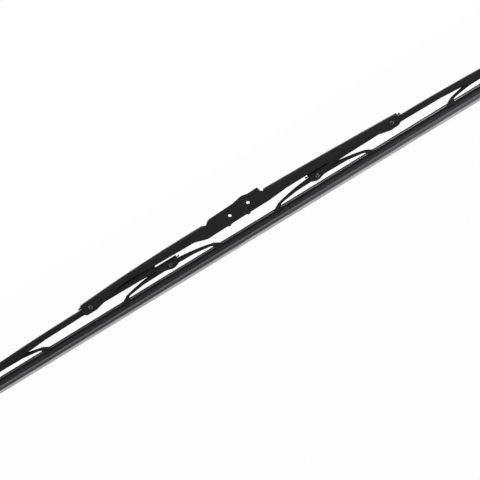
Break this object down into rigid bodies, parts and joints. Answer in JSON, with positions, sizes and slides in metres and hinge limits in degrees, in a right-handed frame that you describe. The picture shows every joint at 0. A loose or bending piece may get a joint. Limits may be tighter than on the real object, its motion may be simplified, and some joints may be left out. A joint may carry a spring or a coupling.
{
  "type": "bracket wiper blade",
  "caption": "Bracket-style windscreen wiper blade: a steel bridge with two holes for the arm, hinged yokes and claw yokes that hold a rubber squeegee.",
  "frame": {"origin": "middle of the wiping lip's edge, where the blade meets the glass", "axes": "+X along the blade towards the end whose arm hole is higher, +Y across it, +Z away from the glass"},
  "size_m": [0.6, 0.017, 0.0353],
  "materials": {
    "yoke_paint": "satin near-black paint",
    "bush_nylon": "moulded nylon",
    "rivet_steel": "blackened, rolled heads",
    "wiper_rubber": "moulded rubber with a pale coated lip",
    "strip_steel": "bare spring steel"
  },
  "bodies": {
    "bridge": {"primary_bridge": "yoke_paint", "wiper_rubber": "wiper_rubber", "flexor_strip_front": "strip_steel", "flexor_strip_back": "strip_steel", "bridge_bush_left": "bush_nylon", "bridge_bush_right": "bush_nylon", "bridge_rivet_left": "rivet_steel", "bridge_rivet_right": "rivet_steel"},
    "left_yoke": {"secondary_yoke_left": "yoke_paint", "claw_bush_inner_left": "bush_nylon", "claw_rivet_inner_left": "rivet_steel", "claw_bush_outer_left": "bush_nylon", "claw_rivet_outer_left": "rivet_steel"},
    "outer_left_claws": {"claw_yoke_outer_left": "yoke_paint"},
    "inner_left_claws": {"claw_yoke_inner_left": "yoke_paint"},
    "right_yoke": {"secondary_yoke_right": "yoke_paint", "claw_bush_inner_right": "bush_nylon", "claw_rivet_inner_right": "rivet_steel", "claw_bush_outer_right": "bush_nylon", "claw_rivet_outer_right": "rivet_steel"},
    "outer_right_claws": {"claw_yoke_outer_right": "yoke_paint"},
    "inner_right_claws": {"claw_yoke_inner_right": "yoke_paint"}
  },
  "joints": [
    {"name": "left_yoke_pivot", "type": "hinge", "parent": "bridge", "child": "left_yoke", "pos_m": [-0.1445, 0, 0.0225], "axis": [0, -1, 0], "range_deg": [-2.5, 2.5], "stiffness_Nm_per_rad": 2, "deforming": ["wiper_rubber", "flexor_strip_front", "flexor_strip_back"]},
    {"name": "outer_left_claw_pivot", "type": "hinge", "parent": "left_yoke", "child": "outer_left_claws", "pos_m": [-0.2415, 0, 0.0175], "axis": [0, -1, 0], "range_deg": [-3, 3], "stiffness_Nm_per_rad": 0.6, "deforming": ["wiper_rubber", "flexor_strip_front", "flexor_strip_back"]},
    {"name": "inner_left_claw_pivot", "type": "hinge", "parent": "left_yoke", "child": "inner_left_claws", "pos_m": [-0.0704, 0, 0.0175], "axis": [0, 1, 0], "range_deg": [-3, 3], "stiffness_Nm_per_rad": 0.6, "deforming": ["wiper_rubber", "flexor_strip_front", "flexor_strip_back"]},
    {"name": "right_yoke_pivot", "type": "hinge", "parent": "bridge", "child": "right_yoke", "pos_m": [0.1445, 0, 0.0225], "axis": [0, 1, 0], "range_deg": [-2.5, 2.5], "stiffness_Nm_per_rad": 2, "deforming": ["wiper_rubber", "flexor_strip_front", "flexor_strip_back"]},
    {"name": "outer_right_claw_pivot", "type": "hinge", "parent": "right_yoke", "child": "outer_right_claws", "pos_m": [0.2415, 0, 0.0175], "axis": [0, 1, 0], "range_deg": [-3, 3], "stiffness_Nm_per_rad": 0.6, "deforming": ["wiper_rubber", "flexor_strip_front", "flexor_strip_back"]},
    {"name": "inner_right_claw_pivot", "type": "hinge", "parent": "right_yoke", "child": "inner_right_claws", "pos_m": [0.0704, 0, 0.0175], "axis": [0, -1, 0], "range_deg": [-3, 3], "stiffness_Nm_per_rad": 0.6, "deforming": ["wiper_rubber", "flexor_strip_front", "flexor_strip_back"]}
  ]
}
